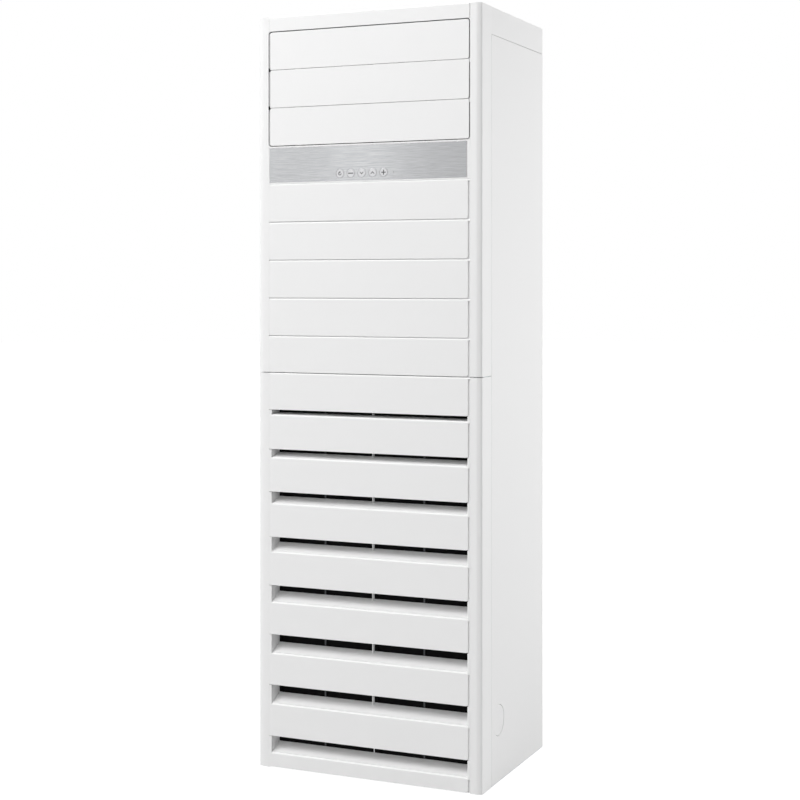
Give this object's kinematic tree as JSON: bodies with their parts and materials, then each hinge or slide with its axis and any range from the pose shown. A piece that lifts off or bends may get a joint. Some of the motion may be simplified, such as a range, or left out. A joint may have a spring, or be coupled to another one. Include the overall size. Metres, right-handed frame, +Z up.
{
  "type": "floor standing air conditioner",
  "caption": "Tall free-standing cabinet air conditioner: slotted intake grille below, raised stripes, brushed control band with round keys and wide closing outlet vanes on top.",
  "frame": {"origin": "on the floor, under the middle of the cabinet", "axes": "+Z up, -Y out of the front, +X to the viewer's right when facing the front"},
  "size_m": [0.59, 0.44, 1.85],
  "materials": {
    "cabinet_paint": "satin white powder coat",
    "front_plastic": "smooth white moulding, low gloss",
    "band_metal": "brushed along its length",
    "key_plastic": "silver lacquer, with a printed symbol",
    "lamp": "clear lens",
    "circuit_board": "green laminate",
    "galvanised": "zinc coated sheet",
    "screw_steel": "plated",
    "rubber": "matt black",
    "duct_plastic": "grey moulding",
    "mechanism_plastic": "natural acetal",
    "motor_steel": "satin",
    "louvre_plastic": "light grey moulding",
    "housing_plastic": "dark grey moulding",
    "wheel_plastic": "black moulding",
    "fin_aluminium": "closely spaced fins",
    "copper": "bright copper",
    "hose_plastic": "soft grey hose",
    "filter_mesh": "black frame and mesh"
  },
  "bodies": {
    "cabinet": {"back_panel": "cabinet_paint", "base_pan": "galvanised", "cabinet_screws": "screw_steel", "cable_bush": "rubber", "control_band": "band_metal", "control_box": "galvanised", "control_box_lid": "galvanised", "display_board": "circuit_board", "drain_hose": "hose_plastic", "drain_pan": "duct_plastic", "evaporator_end_plates": "galvanised", "evaporator_fins": "fin_aluminium", "evaporator_tubes": "copper", "fan_motor": "motor_steel", "front_posts": "galvanised", "inlet_ring": "housing_plastic", "knockout_discs": "cabinet_paint", "left_side_panel": "cabinet_paint", "louvre_motor": "motor_steel", "lower_left_column": "front_plastic", "lower_right_column": "front_plastic", "main_board": "circuit_board", "motor_bracket": "galvanised", "outlet_duct": "duct_plastic", "partition_plate": "galvanised", "refrigerant_pipes": "copper", "right_side_panel": "cabinet_paint", "scroll_housing_front": "housing_plastic", "scroll_housing_rear": "housing_plastic", "status_led": "lamp", "stripe_panel": "front_plastic", "top_cover": "cabinet_paint", "top_strip": "front_plastic", "upper_left_column": "front_plastic", "upper_right_column": "front_plastic", "vane_motor": "motor_steel"},
    "vane_link": {"vane_link": "mechanism_plastic"},
    "louvre_link": {"louvre_link": "mechanism_plastic"},
    "blower": {"blower_wheel": "wheel_plastic", "motor_shaft": "screw_steel"},
    "grille": {"inlet_grille": "front_plastic"},
    "filter_left": {"filter_left": "filter_mesh"},
    "filter_right": {"filter_right": "filter_mesh"},
    "vane_top": {"vane_top": "front_plastic", "vane_crank_top": "mechanism_plastic"},
    "vane_middle": {"vane_middle": "front_plastic", "vane_crank_middle": "mechanism_plastic"},
    "vane_bottom": {"vane_bottom": "front_plastic", "vane_crank_bottom": "mechanism_plastic"},
    "louvre_1": {"louvre_1": "louvre_plastic"},
    "louvre_2": {"louvre_2": "louvre_plastic"},
    "louvre_3": {"louvre_3": "louvre_plastic"},
    "louvre_4": {"louvre_4": "louvre_plastic"},
    "louvre_5": {"louvre_5": "louvre_plastic"},
    "louvre_6": {"louvre_6": "louvre_plastic"},
    "key_power": {"key_power": "key_plastic"},
    "key_mode": {"key_mode": "key_plastic"},
    "key_down": {"key_down": "key_plastic"},
    "key_up": {"key_up": "key_plastic"},
    "key_fan": {"key_fan": "key_plastic"}
  },
  "joints": [
    {"name": "vane_top_tilt", "type": "hinge", "parent": "cabinet", "child": "vane_top", "pos_m": [0, -0.212, 1.76653], "axis": [-1, 0, 0], "range_deg": [0, 110]},
    {"name": "vane_middle_tilt", "type": "hinge", "parent": "cabinet", "child": "vane_middle", "pos_m": [0, -0.212, 1.673], "axis": [-1, 0, 0], "range_deg": [0, 110]},
    {"name": "vane_bottom_tilt", "type": "hinge", "parent": "cabinet", "child": "vane_bottom", "pos_m": [0, -0.212, 1.57947], "axis": [-1, 0, 0], "range_deg": [0, 110]},
    {"name": "vane_link_pivot", "type": "hinge", "parent": "vane_middle", "child": "vane_link", "pos_m": [0.2738, -0.19974, 1.68328], "axis": [-1, 0, 0], "range_deg": [-110, 0]},
    {"name": "louvre_1_swing", "type": "hinge", "parent": "cabinet", "child": "louvre_1", "pos_m": [-0.21, -0.128, 1.673], "axis": [0, 0, 1], "range_deg": [-40, 40]},
    {"name": "louvre_2_swing", "type": "hinge", "parent": "cabinet", "child": "louvre_2", "pos_m": [-0.126, -0.128, 1.673], "axis": [0, 0, 1], "range_deg": [-40, 40]},
    {"name": "louvre_3_swing", "type": "hinge", "parent": "cabinet", "child": "louvre_3", "pos_m": [-0.042, -0.128, 1.673], "axis": [0, 0, 1], "range_deg": [-40, 40]},
    {"name": "louvre_4_swing", "type": "hinge", "parent": "cabinet", "child": "louvre_4", "pos_m": [0.042, -0.128, 1.673], "axis": [0, 0, 1], "range_deg": [-40, 40]},
    {"name": "louvre_5_swing", "type": "hinge", "parent": "cabinet", "child": "louvre_5", "pos_m": [0.126, -0.128, 1.673], "axis": [0, 0, 1], "range_deg": [-40, 40]},
    {"name": "louvre_6_swing", "type": "hinge", "parent": "cabinet", "child": "louvre_6", "pos_m": [0.21, -0.128, 1.673], "axis": [0, 0, 1], "range_deg": [-40, 40]},
    {"name": "louvre_link_pivot", "type": "hinge", "parent": "louvre_3", "child": "louvre_link", "pos_m": [-0.042, -0.101, 1.5491], "axis": [0, 0, 1], "range_deg": [-40, 40]},
    {"name": "blower_spin", "type": "hinge", "parent": "cabinet", "child": "blower", "pos_m": [-0.02, 0.02, 0.46], "axis": [0, 1, 0], "continuous": true},
    {"name": "key_power_press", "type": "slide", "parent": "cabinet", "child": "key_power", "axis": [0, 1, 0], "range_m": [0, 0.0008], "stiffness_N_per_m": 400, "springref_m": -0.0005},
    {"name": "key_mode_press", "type": "slide", "parent": "cabinet", "child": "key_mode", "axis": [0, 1, 0], "range_m": [0, 0.0008], "stiffness_N_per_m": 400, "springref_m": -0.0005},
    {"name": "key_down_press", "type": "slide", "parent": "cabinet", "child": "key_down", "axis": [0, 1, 0], "range_m": [0, 0.0008], "stiffness_N_per_m": 400, "springref_m": -0.0005},
    {"name": "key_up_press", "type": "slide", "parent": "cabinet", "child": "key_up", "axis": [0, 1, 0], "range_m": [0, 0.0008], "stiffness_N_per_m": 400, "springref_m": -0.0005},
    {"name": "key_fan_press", "type": "slide", "parent": "cabinet", "child": "key_fan", "axis": [0, 1, 0], "range_m": [0, 0.0008], "stiffness_N_per_m": 400, "springref_m": -0.0005},
    {"name": "grille_tilt", "type": "hinge", "parent": "cabinet", "child": "grille", "pos_m": [0, -0.212, 0.01], "axis": [1, 0, 0], "range_deg": [0, 20]},
    {"name": "filter_left_lift", "type": "slide", "parent": "grille", "child": "filter_left", "axis": [0, 0, 1], "range_m": [0, 0.025]},
    {"name": "filter_right_lift", "type": "slide", "parent": "grille", "child": "filter_right", "axis": [0, 0, 1], "range_m": [0, 0.025]}
  ],
  "couplings": [
    {"joint": "vane_top_tilt", "follows": "vane_middle_tilt", "ratio": 1},
    {"joint": "vane_bottom_tilt", "follows": "vane_middle_tilt", "ratio": 1},
    {"joint": "vane_link_pivot", "follows": "vane_middle_tilt", "ratio": -1},
    {"joint": "louvre_1_swing", "follows": "louvre_3_swing", "ratio": 1},
    {"joint": "louvre_2_swing", "follows": "louvre_3_swing", "ratio": 1},
    {"joint": "louvre_4_swing", "follows": "louvre_3_swing", "ratio": 1},
    {"joint": "louvre_5_swing", "follows": "louvre_3_swing", "ratio": 1},
    {"joint": "louvre_6_swing", "follows": "louvre_3_swing", "ratio": 1},
    {"joint": "louvre_link_pivot", "follows": "louvre_3_swing", "ratio": -1}
  ]
}
